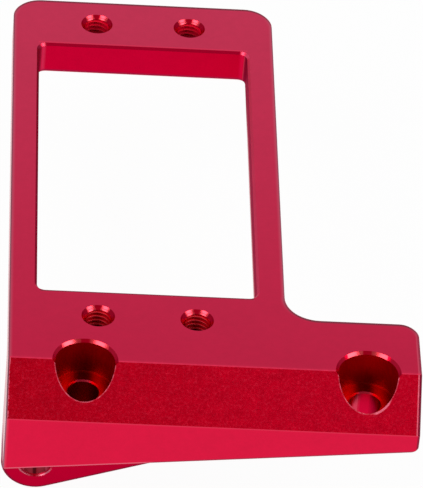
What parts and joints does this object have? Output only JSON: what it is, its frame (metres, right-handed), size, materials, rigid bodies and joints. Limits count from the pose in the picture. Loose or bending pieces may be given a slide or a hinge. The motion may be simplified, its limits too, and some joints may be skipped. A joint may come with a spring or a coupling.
{
  "type": "servo bracket",
  "caption": "Machined servo bracket: a flat plate with a servo window and tapped holes on a screw-down foot with a bevelled front, an inclined underside and a rear lug.",
  "frame": {"origin": "centre of the servo screw pattern on the front face of the servo plate", "axes": "+Z out of the plate's front face; +Y along the plate, away from the foot; +X toward the wide end of the foot"},
  "size_m": [0.0415, 0.065, 0.0195],
  "materials": {
    "anodised_red": "red anodised, satin on the faces and machined bright in the cuts"
  },
  "bodies": {
    "root": {"servo_bracket": "anodised_red"}
  },
  "joints": []
}
